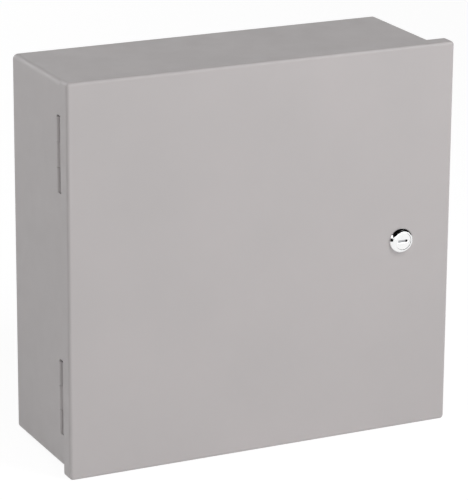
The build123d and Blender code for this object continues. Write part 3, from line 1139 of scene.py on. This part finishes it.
@dataclass
class SlotHinge:
    """One of the two hinges behind the door's flange.

    Attributes:
        palette: The finishes that its pieces take.
        pattern: The tree that sets out its spot welds.
        level: Upper or lower, as in the names of its nodes.
        leaf: Thickness of a leaf.
        edge: Width of the leaves' broken edges.
        peen_tilts: Angles of the curve at the pin's ends, from its tip outwards.
        spot_radius: Radius of a spot weld.
        spot_rise: Height of its rim.
        spot_shares: Shares of that radius and rise along a spot weld's section, from outside.
        spot_count: Spot welds on a leaf.
        spot_margin: Distance of a leaf's spot welds from its free edge.
    """

    palette: Palette
    pattern: PatternTree
    level: str
    leaf: float = 1.0
    edge: float = 0.2
    peen_tilts: tuple[float, ...] = (1.35, 1.0, 0.6, 0.3, 0.0)
    spot_radius: float = 2.4
    spot_rise: float = 0.14
    spot_shares: tuple[Pair, ...] = ((1.0, 0.0), (0.86, 1.0), (0.7, 1 / 3), (0.1, 1 / 7))
    spot_count: int = 3
    spot_margin: float = 4.5

    def build(self) -> None:
        """Make the leaves, the pin and the spot welds."""
        for side, body in (("body", Body.CABINET), ("door", Body.DOOR)):
            node = f"{self.level}_hinge_{side}_leaf"
            leaf = packed_copy(node, f"{self.level}_{side}_leaf")
            self.palette.hand_over(leaf, body, Slot.GREY_COAT, node, edge=self.edge)
            self.spot_welds(node, side, body)
        self.pin()

    def pin(self) -> None:
        """Make the pin, peened round at both ends."""
        node = f"{self.level}_hinge_pin"
        rect = Rect.of(node)
        radius = rect.half_width
        axis = (rect.centre[0], -rect.middle_depth)
        dome = [(radius * math.cos(a), radius * (1 - math.sin(a)) / 2) for a in self.peen_tilts]
        profile = [(reach, rect.low + rise) for reach, rise in dome]
        profile += [(reach, rect.high - rise) for reach, rise in reversed(dome)]
        rows = []
        for reach, z in profile:
            flat = circle(axis, reach, 0.0, PIN_STEPS)
            rows.append([(x, -y, z) for x, _, y in flat])
        sketch = MeshSketch()
        sketch.loft(rows)
        pin = sketch.to_object(f"{self.level}_pin")
        self.palette.hand_over(pin, Body.CABINET, Slot.STEEL, node)

    def spot_welds(self, node: str, side: str, body: Body) -> None:
        """Press the row of spot welds into the inner face of a leaf.

        Args:
            node: The leaf's node.
            side: The leaf's side of the hinge, body or door.
            body: The body that carries the leaf.
        """
        leaf = Rect.of(node)
        face = leaf.right if side == "body" else leaf.left + self.leaf
        depth = leaf.rear + self.spot_margin if side == "body" else leaf.front - self.spot_margin
        pitch = leaf.height / self.spot_count
        rows = []
        for radius_share, rise_share in self.spot_shares:
            rise = rise_share * self.spot_rise
            flat = circle((0.0, 0.0), radius_share * self.spot_radius, 0.0, SPOT_STEPS)
            rows.append([(rise, y, z) for y, _, z in flat])
        sketch = MeshSketch()
        sketch.loft(rows)
        spots = sketch.to_object(f"{self.level}_{side}_spot_welds")
        start = (face, depth, leaf.low + pitch / 2)
        coat = self.palette.materials[Slot.GREY_COAT]
        self.pattern.single_row(spots, start, (0.0, 0.0, pitch), self.spot_count, coat)
        self.palette.hand_over(spots, body, Slot.GREY_COAT)


@dataclass(frozen=True)
class StudSize:
    """Sizes of a threaded stud with its washer and nut.

    Attributes:
        radius: Radius of the thread.
        pitch: Pitch of the thread.
        washer_bore: Radius of the washer's hole.
        nut_flats: Width of the nut across its flats.
        nut_bore: Radius of the nut's hole.
    """

    radius: float = 3.0
    pitch: float = 1.0
    washer_bore: float = 3.2
    nut_flats: float = 10.0
    nut_bore: float = 3.05


@dataclass
class PanelSet:
    """The mounting panel on its four collar studs.

    Attributes:
        palette: The finishes that its pieces take.
        pattern: The tree that sets out its studs, washers and nuts.
        panel_edge: Width of the panel's broken edge.
        size: Sizes of the studs, washers and nuts.
        collar: Width of the collar across its flats.
        flash_reach: How far the weld's flash spreads from a collar.
    """

    palette: Palette
    pattern: PatternTree
    panel_edge: float = 0.3
    size: StudSize = StudSize()
    collar: float = 11.0
    flash_reach: float = 0.9

    def build(self) -> None:
        """Make the panel, its studs, washers and nuts, and the flash of the stud welds."""
        panel = packed_copy("mounting_panel", "equipment_panel")
        self.palette.hand_over(
            panel, Body.CABINET, Slot.WHITE_PAINT, "mounting_panel", edge=self.panel_edge
        )
        sheet = Rect.of("mounting_panel")
        studs, washers, nuts = (Rect.of(f"panel_{part}") for part in ("studs", "washers", "nuts"))
        size = self.size
        axis = (0.0, 0.0)
        bar = MeshSketch()
        add_hexagon(bar, axis, self.collar, studs.rear, sheet.rear, 0.0)
        add_thread(bar, axis, size.radius, size.pitch, sheet.rear - size.pitch, studs.front)
        self.set_out(bar, "collar_studs", "panel_studs")
        disc = MeshSketch()
        radius = washers.half_width - self.spread()[0]
        add_washer(disc, axis, size.washer_bore, radius, washers.rear, washers.front)
        self.set_out(disc, "stud_washers", "panel_washers")
        nut = MeshSketch()
        add_hexagon(nut, axis, size.nut_flats, nuts.rear, nuts.front, size.nut_bore)
        self.set_out(nut, "stud_nuts", "panel_nuts")
        flash = MeshSketch()
        flash.lathe(axis, self.flash_profile(hex_corner(self.collar), studs.rear), closed=True)
        self.set_out(flash, "stud_weld_flash")

    def flash_profile(self, foot: float, depth: float) -> list[Pair]:
        """Give the section of the flash that a stud weld squeezes out.

        Args:
            foot: Radius of the stud's foot.
            depth: Depth of the face that it is welded to.

        Returns:
            Radius and depth of each point.
        """
        reach = self.flash_reach
        profile = quarter((foot + reach, depth), (foot, depth + reach), False, FOLD_STEPS)
        return [(foot - reach, depth), *profile, (foot - reach, depth + reach)]

    def spread(self) -> Pair:
        """Give half the studs' spacing across and up the panel."""
        studs = Rect.of("panel_studs")
        return studs.half_width - hex_corner(self.collar), studs.height / 2 - self.collar / 2

    def set_out(self, sketch: MeshSketch, name: str, *nodes: str) -> None:
        """Place a shape on all four studs.

        Args:
            sketch: One copy of the shape, on the axis of depth.
            name: The piece's name.
            *nodes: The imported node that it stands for.
        """
        half_x, half_z = self.spread()
        shape = sketch.to_object(name)
        self.pattern.apply(
            shape,
            Start=metres((-half_x, 0.0, -half_z)),
            Count=2,
            Step=metres((2 * half_x, 0.0, 0.0)),
            Row_Count=2,
            Row_Step=metres((0.0, 0.0, 2 * half_z)),
            Material=self.palette.materials[Slot.ZINC],
        )
        self.palette.hand_over(shape, Body.CABINET, Slot.ZINC, *nodes)


@dataclass
class EarthPoint:
    """An earth stud with its washer and nut, on the box or on the door.

    Attributes:
        palette: The finishes that its pieces take.
        prefix: Start of its nodes' names.
        body: The body that carries it.
        size: Sizes of the stud, washer and nut.
        flange: Thickness of the stud's welded foot.
    """

    palette: Palette
    prefix: str
    body: Body
    size: StudSize = StudSize()
    flange: float = 1.0

    def build(self) -> None:
        """Make the stud, the washer and the nut."""
        stud, washer, nut = (Rect.of(f"{self.prefix}_{part}") for part in ("stud", "washer", "nut"))
        size = self.size
        axis = stud.centre
        radius = stud.half_width
        forwards = self.body is Body.CABINET
        foot, tip = (stud.rear, stud.front) if forwards else (stud.front, stud.rear)
        top = foot + (self.flange if forwards else -self.flange)
        sketch = MeshSketch()
        profile = [(radius, foot), *quarter((radius, foot), (size.radius, top), False, EDGE_STEPS)]
        sketch.lathe(axis, profile, closed=False)
        add_thread(sketch, axis, size.radius, size.pitch, top, tip)
        self.finish(sketch, "stud")
        sketch = MeshSketch()
        add_washer(sketch, axis, size.washer_bore, washer.half_width, washer.rear, washer.front)
        self.finish(sketch, "washer")
        sketch = MeshSketch()
        add_hexagon(sketch, axis, size.nut_flats, nut.rear, nut.front, size.nut_bore)
        self.finish(sketch, "nut")

    def finish(self, sketch: MeshSketch, part: str) -> None:
        """Dress one of the pieces and let it ride."""
        node = f"{self.prefix}_{part}"
        self.palette.hand_over(sketch.to_object(f"{node}_zinc"), self.body, Slot.ZINC, node)


@dataclass
class CamLock:
    """The key lock: chrome in front of the door, zinc behind it.

    Attributes:
        palette: The finishes that its pieces take.
        turns: The tree that sets out the washer's teeth.
        rim: Height of the bezel's upright rim.
        dome_tilt: Tilt of the bezel's curve at its rim and at its face.
        face_radius: Outer radius of the bezel's flat face.
        head_bore: Radius of the bore round the plug's head.
        head_floor: Depth of that bore below the face.
        barrel: Radius of the barrel.
        barrel_flat: Distance of the barrel's flats from its axis.
        plug_bore: Radius of the barrel's bore.
        thread: Pitch of the barrel's thread.
        root_share: Depth of that thread as a share of its pitch.
        run_out_share: Share of the barrel, next to the door, along which the thread fades out.
        head: Radius of the plug's head.
        head_height: Height of the plug's head.
        head_edge: Radius of the edge round the head's face.
        plug: Radius of the plug.
        plug_edge: Width of the plug's other broken edges.
        key: Width, height and depth of the keyway.
        entry: Width, height and depth of its shallow entry.
        shutter_width: Width of the plate that closes the keyway.
        shutter_sheet: Its thickness.
        shutter_drop: Its depth below the plug's face.
        shutter_edge: Width of its broken edges.
        tail: Width of the plug's square tail.
        washer_bore: Radius of the tooth washer's hole.
        teeth: Teeth on the tooth washer.
        tooth: Height of a tooth.
        tooth_foot: How far a tooth runs into the washer.
        tooth_inset: How much thinner a tooth is on either face.
        tooth_gap: Width of the gap between teeth.
        twist: How far a tooth is bent out of the washer.
        nut_flats: Width of the nut across its flats.
    """

    palette: Palette
    turns: PatternTree
    rim: float = 0.7
    dome_tilt: Pair = (math.radians(65), math.radians(30))
    face_radius: float = 7.6
    head_bore: float = 6.8
    head_floor: float = 2.55
    barrel: float = 8.0
    barrel_flat: float = 6.9
    plug_bore: float = 5.55
    thread: float = 1.0
    root_share: float = 0.45
    run_out_share: float = 0.5
    head: float = 6.75
    head_height: float = 2.3
    head_edge: float = 0.3
    plug: float = 5.5
    plug_edge: float = 0.12
    key: Point = (8.0, 1.9, 10.5)
    entry: Point = (10.8, 2.6, 0.5)
    shutter_width: float = 6.4
    shutter_sheet: float = 0.5
    shutter_drop: float = 0.8
    shutter_edge: float = 0.1
    tail: float = 6.5
    washer_bore: float = 8.15
    teeth: int = 12
    tooth: float = 1.2
    tooth_foot: float = 0.2
    tooth_inset: float = 0.1
    tooth_gap: float = 1.4
    twist: float = 0.25
    nut_flats: float = 22.0

    def build(self) -> None:
        """Make the lock's pieces from front to back."""
        self.housing()
        self.plug_piece()
        self.shutter()
        self.tooth_washer()
        self.nut()
        for node, name, edge, slot in (
            ("lock_wafers", "disc_tumblers", 0.06, Slot.BRASS),
            ("lock_cam", "cranked_cam", 0.25, Slot.ZINC),
            ("cam_washer", "cam_disc_washer", 0.2, Slot.ZINC),
            ("cam_screw", "cam_fixing_screw", 0.18, Slot.ZINC),
        ):
            self.palette.hand_over(packed_copy(node, name), Body.LOCK, slot, node, edge=edge)

    def housing(self) -> None:
        """Turn the domed bezel and the threaded barrel with its two flats."""
        rect = Rect.of("lock_housing")
        axis = rect.centre
        seat = Rect.of("door").front
        bezel = rect.half_width
        floor = rect.front - self.head_floor
        profile = [(bezel, seat), *self.dome((bezel, seat + self.rim), (self.face_radius, rect.front))]
        profile += [(self.head_bore, rect.front), (self.head_bore, floor)]
        profile += [(self.plug_bore, floor), (self.plug_bore, rect.rear)]
        rows = [circle(axis, radius, depth) for radius, depth in profile]
        count = round((seat - rect.rear) / self.thread * ROWS_PER_PITCH)
        for number in range(count + 1):
            along = (seat - rect.rear) * number / count
            fade = min(1.0, along / self.thread, (count - number) / count / self.run_out_share)

            def reach(angle: float, along: float = along, fade: float = fade) -> float:
                """Distance of the barrel's thread from the axis."""
                phase = (along / self.thread - angle / TAU) % 1.0
                return self.barrel - self.root_share * self.thread * fade * abs(2 * phase - 1)

            row = turned(axis, reach, rect.rear + along)
            rows.append(with_flats(row, axis[1], self.barrel_flat))
        sketch = MeshSketch()
        sketch.loft(rows, closed=True)
        housing = sketch.to_object("lock_bezel_and_barrel")
        self.palette.hand_over(housing, Body.DOOR, Slot.CHROME, "lock_housing")

    def dome(self, rim: Pair, face: Pair) -> list[Pair]:
        """Curve the bezel from its rim to its face.

        Args:
            rim: Radius and depth of the rim.
            face: Radius and depth of the face's edge.

        Returns:
            Radius and depth of each point, from the rim.
        """
        steep, flat = self.dome_tilt
        steps = 2 * FOLD_STEPS
        points = []
        for step in range(steps + 1):
            tilt = steep + (flat - steep) * step / steps
            inwards = (math.sin(steep) - math.sin(tilt)) / (math.sin(steep) - math.sin(flat))
            forwards = (math.cos(tilt) - math.cos(steep)) / (math.cos(flat) - math.cos(steep))
            points.append((rim[0] + (face[0] - rim[0]) * inwards, rim[1] + (face[1] - rim[1]) * forwards))
        return points

    def shutter(self) -> None:
        """Close most of the keyway with the sprung plate that keeps dust out."""
        rect = Rect.of("lock_plug")
        width, height, _ = self.key
        keyway = Rect.around(rect.centre, width, height)
        plate = replace(keyway, right=keyway.left + self.shutter_width)
        front = rect.front - self.shutter_drop
        sketch = MeshSketch()
        sketch.bar(plate, SMALLEST_RADIUS, front - self.shutter_sheet, front)
        shutter = sketch.to_object("keyway_dust_shutter")
        self.palette.hand_over(shutter, Body.LOCK, Slot.STEEL, edge=self.shutter_edge)

    def plug_piece(self) -> None:
        """Turn the plug and cut its keyway."""
        rect = Rect.of("lock_plug")
        axis = rect.centre
        shoulder = rect.front - self.head_height
        tail_top = Rect.of("lock_housing").rear
        edge = self.head_edge
        profile = [(self.plug, tail_top), (self.plug, shoulder), (self.head, shoulder)]
        profile += quarter((self.head, rect.front - edge), (self.head - edge, rect.front), False, EDGE_STEPS)
        sketch = MeshSketch()
        sketch.lathe(axis, profile, closed=False)
        plug = sketch.to_object("key_plug")
        for (width, height, depth), corner in ((self.entry, self.entry[1] / 2), (self.key, SMALLEST_RADIUS)):
            slot = MeshSketch()
            slot.bar(Rect.around(axis, width, height), corner, rect.front - depth, rect.front + depth)
            cut(plug, slot.to_object("key_slot"))
        tail = MeshSketch()
        tail.bar(Rect.around(axis, self.tail, self.tail), SMALLEST_RADIUS, rect.rear, tail_top)
        join(plug, [copy_of(plug), tail.to_object("key_plug_tail")])
        self.palette.hand_over(plug, Body.LOCK, Slot.CHROME, "lock_plug", edge=self.plug_edge)

    def tooth_washer(self) -> None:
        """Set out twisted teeth round the washer that bites the door."""
        rect = Rect.of("lock_washer")
        outer = rect.half_width
        root = outer - self.tooth
        half = TAU / self.teeth / 2
        tip = half - self.tooth_gap / outer / 2
        sketch = MeshSketch()

        def row(radius: float, depth: float, spread: float, twist: float = 0.0) -> Ring:
            """Add an arc of one sector of the washer.

            Args:
                radius: Distance of the arc from the axis.
                depth: Depth of its middle.
                spread: Angle from its middle to either end.
                twist: How far it leans at the sector's ends.

            Returns:
                The indices of the new points.
            """
            angles = [spread * (2 * step / TOOTH_STEPS - 1) for step in range(TOOTH_STEPS + 1)]
            return sketch.ring(
                (radius * math.cos(a), depth + twist * a / half, radius * math.sin(a)) for a in angles
            )

        def skin(rings: Sequence[Ring]) -> None:
            """Join the arcs of a bar all round, and leave its two ends open.

            Args:
                rings: The arcs in turn.
            """
            for first, second in zip(rings, [*rings[1:], rings[0]]):
                for i in range(TOOTH_STEPS):
                    sketch.faces.append([first[i], first[i + 1], second[i + 1], second[i]])

        sector = [row(self.washer_bore, d, half) for d in (rect.rear, rect.front)]
        sector += [row(root, d, half) for d in (rect.front, rect.rear)]
        skin(sector)
        rear, front = rect.rear + self.tooth_inset, rect.front - self.tooth_inset
        tooth = [row(root - self.tooth_foot, d, tip) for d in (rear, front)]
        tooth += [row(outer, d, tip, self.twist) for d in (front, rear)]
        skin(tooth)
        for column in (0, TOOTH_STEPS):
            sketch.faces.append([arc[column] for arc in tooth])
        washer = sketch.to_object("tooth_washer")
        x, z = rect.centre
        zinc = self.palette.materials[Slot.ZINC]
        self.turns.apply(washer, Start=metres((x, 0.0, z)), Count=self.teeth, Material=zinc)
        self.palette.hand_over(washer, Body.DOOR, Slot.ZINC, "lock_washer")

    def nut(self) -> None:
        """Turn the thin nut that clamps the lock."""
        rect = Rect.of("lock_nut")
        sketch = MeshSketch()
        add_hexagon(sketch, rect.centre, self.nut_flats, rect.rear, rect.front, self.barrel)
        self.palette.hand_over(sketch.to_object("lock_thin_nut"), Body.DOOR, Slot.ZINC, "lock_nut")


@dataclass(frozen=True)
class SoftBox:
    """A square lamp.

    Attributes:
        name: The lamp's name.
        place: X, depth and Z of its middle.
        aim: X, depth and Z that it faces.
        size: Width of its square.
        power: Its power in watts.
    """

    name: str
    place: Point
    aim: Point
    size: float
    power: float

    def hang(self) -> None:
        """Put the lamp in the scene."""
        light = bpy.data.lights.new(self.name, "AREA")
        light.shape = "SQUARE"
        light.size = self.size * MM
        light.energy = self.power
        lamp = bpy.data.objects.new(self.name, light)
        lamp.location = metres(self.place)
        lamp.rotation_euler = (metres(self.aim) - lamp.location).to_track_quat("-Z", "Y").to_euler()
        bpy.context.scene.collection.objects.link(lamp)


@dataclass(frozen=True)
class DarkCard:
    """A flat card that only reflections show.

    Attributes:
        name: The card's name.
        centre: X, depth and Z of its middle.
        across: Way from its middle to one side.
        along: Way from its middle to the next side.
    """

    name: str
    centre: Point
    across: Point
    along: Point

    def hang(self, black: bpy.types.Material) -> None:
        """Put the card in the scene.

        Args:
            black: The card's material.
        """
        centre, across, along = Vector(self.centre), Vector(self.across), Vector(self.along)
        sketch = MeshSketch()
        sketch.faces.append(sketch.ring(tuple(centre + across * i + along * j) for i, j in SQUARE))
        card = sketch.to_object(self.name)
        card.data.materials.append(black)
        card.visible_camera = False
        card.visible_diffuse = False
        card.visible_shadow = False


MIDDLE = (0.0, 60.0, 0.0)
SOFT_BOXES = (
    SoftBox("right_box", (1300.0, 1900.0, 500.0), MIDDLE, 1000.0, 5.5),
    SoftBox("front_box", (0.0, 2300.0, 400.0), MIDDLE, 1200.0, 9.6),
    SoftBox("left_fill", (-900.0, 200.0, 600.0), (-150.0, 60.0, 60.0), 600.0, 2.6),
    SoftBox("upper_box", (720.0, 1050.0, 1150.0), MIDDLE, 750.0, 12.3),
    SoftBox("back_box", (-750.0, -2000.0, 900.0), (-100.0, 30.0, 60.0), 1000.0, 6.5),
    SoftBox("low_back_box", (-300.0, -2200.0, 60.0), MIDDLE, 1200.0, 7.0),
)
DARK_CARDS = (
    DarkCard("upper_card", (0.0, 250.0, 600.0), (1600.0, 0.0, 0.0), (0.0, 1050.0, 0.0)),
    DarkCard("left_card", (-520.0, 260.0, -20.0), (0.0, 380.0, 0.0), (0.0, 0.0, 130.0)),
    DarkCard("right_card", (1300.0, -150.0, 300.0), (0.0, 550.0, 0.0), (0.0, 0.0, 290.0)),
)


@dataclass
class Studio:
    """The floor, the light and the camera.

    Attributes:
        azimuth: Camera's turn to the right of the front in degrees, negative to the left.
        elevation: Camera's height above the horizon, in degrees.
        roll: Camera's turn about its own axis, in degrees.
        distance: Distance of the camera from its aim.
        focal_pixels: Focal length in pixels of the picture.
        picture_height: Height of the picture in pixels.
        aim: X, depth and Z that the camera faces, before it slides.
        slide: Camera's shift to its right.
        rise: Camera's shift upwards.
        sight: How far the camera sees, in metres.
        ambient: Strength of the even light from all round.
        floor_size: Width of the floor.
        floor_tone: Level of the floor's grey, in linear light.
        floor_roughness: Roughness of the floor.
        floor_glow: Share of the floor that shows as plain white.
        glow_strength: Strength of that share, which makes up for the dimmer rest.
        card_tone: Level of the dark cards' grey, in linear light.
    """

    azimuth: float = -25.76
    elevation: float = 17.55
    roll: float = 0.41
    distance: float = 2281.7
    focal_pixels: float = 2988.0
    picture_height: float = 500.0
    aim: Point = (2.2, 66.3, 6.55)
    slide: float = -2.19
    rise: float = -12.34
    sight: float = 100.0
    ambient: float = 0.16
    floor_size: float = 9000.0
    floor_tone: float = 0.9
    floor_roughness: float = 0.9
    floor_glow: float = 0.8
    glow_strength: float = 1.13
    card_tone: float = 0.004

    def build(self) -> None:
        """Set the scene round the object."""
        bpy.context.scene.view_settings.view_transform = "Standard"
        self.world()
        self.floor()
        for lamp in SOFT_BOXES:
            lamp.hang()
        self.cards()
        self.camera()

    def seen_by(self, tree: bpy.types.NodeTree) -> bpy.types.NodeSocket:
        """Tell the rays that should meet plain white from those that light the object.

        Args:
            tree: The tree that asks.

        Returns:
            One for camera, glossy and transmission rays.
        """
        path = add_node(tree, "ShaderNodeLightPath").outputs
        mirror = {0: path["Is Glossy Ray"], 1: path["Is Transmission Ray"]}
        clear = add_node(tree, "ShaderNodeMath", mirror, operation="MAXIMUM")
        seen = {0: path["Is Camera Ray"], 1: clear.outputs[0]}
        return add_node(tree, "ShaderNodeMath", seen, operation="MAXIMUM").outputs[0]

    def world(self) -> None:
        """Surround the object with even light, white to the eye."""
        world = bpy.data.worlds.new("white_studio")
        bpy.context.scene.world = world
        world.use_nodes = True
        tree = world.node_tree
        span = {"Value": self.seen_by(tree), "To Min": self.ambient, "To Max": 1.0}
        strength = add_node(tree, "ShaderNodeMapRange", span)
        background = tree.nodes["Background"]
        background.inputs["Color"].default_value = grey(1.0)
        tree.links.new(strength.outputs["Result"], background.inputs["Strength"])

    def floor(self) -> None:
        """Lay a pale floor under the object's lowest point."""
        half = self.floor_size / 2
        level = CAD_BOX[0].z / MM
        sketch = MeshSketch()
        sketch.faces.append(sketch.ring((i * half, j * half, level) for i, j in SQUARE))
        floor = sketch.to_object("studio_floor")
        material = bpy.data.materials.new("pale_floor")
        material.use_nodes = True
        tree = material.node_tree
        paint = tree.nodes["Principled BSDF"]
        paint.inputs["Base Color"].default_value = grey(self.floor_tone)
        paint.inputs["Roughness"].default_value = self.floor_roughness
        glow = add_node(tree, "ShaderNodeEmission", {"Strength": self.glow_strength})
        white = {0: self.seen_by(tree), 1: self.floor_glow}
        share = add_node(tree, "ShaderNodeMath", white, operation="MULTIPLY")
        mix = {"Fac": share.outputs[0], 1: paint.outputs[0], 2: glow.outputs[0]}
        shader = add_node(tree, "ShaderNodeMixShader", mix)
        tree.links.new(shader.outputs[0], tree.nodes["Material Output"].inputs["Surface"])
        floor.data.materials.append(material)

    def cards(self) -> None:
        """Hang the dark cards that chrome needs to look like chrome."""
        black = bpy.data.materials.new("black_card")
        black.use_nodes = True
        shader = black.node_tree.nodes["Principled BSDF"]
        shader.inputs["Base Color"].default_value = grey(self.card_tone)
        shader.inputs["Specular IOR Level"].default_value = 0.0
        for card in DARK_CARDS:
            card.hang(black)

    def camera(self) -> None:
        """Put the camera where the photograph was taken from."""
        turn, lift, roll = (math.radians(a) for a in (self.azimuth, self.elevation, self.roll))
        back = Vector((math.sin(turn) * math.cos(lift), -math.cos(turn) * math.cos(lift), math.sin(lift)))
        right = Vector((math.cos(turn), math.sin(turn), 0.0))
        up = back.cross(right)
        x, depth, z = self.aim
        place = Vector((x, -depth, z)) + back * self.distance + right * self.slide + up * self.rise
        tilted = Matrix((right, up, back)).transposed() @ Matrix.Rotation(roll, 3, "Z")
        data = bpy.data.cameras.new("photo_camera")
        data.lens = self.focal_pixels / self.picture_height * data.sensor_width
        data.clip_end = self.sight
        camera = bpy.data.objects.new("photo_camera", data)
        camera.matrix_world = Matrix.Translation(place * MM) @ tilted.to_4x4()
        bpy.context.scene.collection.objects.link(camera)
        bpy.context.scene.camera = camera


def main() -> None:
    """Build every sub-assembly and set the scene."""
    logging.basicConfig(level=logging.INFO, format="%(name)s: %(message)s")
    palette = Palette(FINISHES)
    grid = PatternTree(Pattern.GRID)
    turn = PatternTree(Pattern.TURN)
    for assembly in (
        EnclosureBox(palette, grid),
        DoorPan(palette),
        SlotHinge(palette, grid, "upper"),
        SlotHinge(palette, grid, "lower"),
        PanelSet(palette, grid),
        EarthPoint(palette, "earth", Body.CABINET),
        EarthPoint(palette, "door_earth", Body.DOOR),
        CamLock(palette, turn),
        Studio(),
    ):
        assembly.build()


if __name__ == "__main__":
    main()
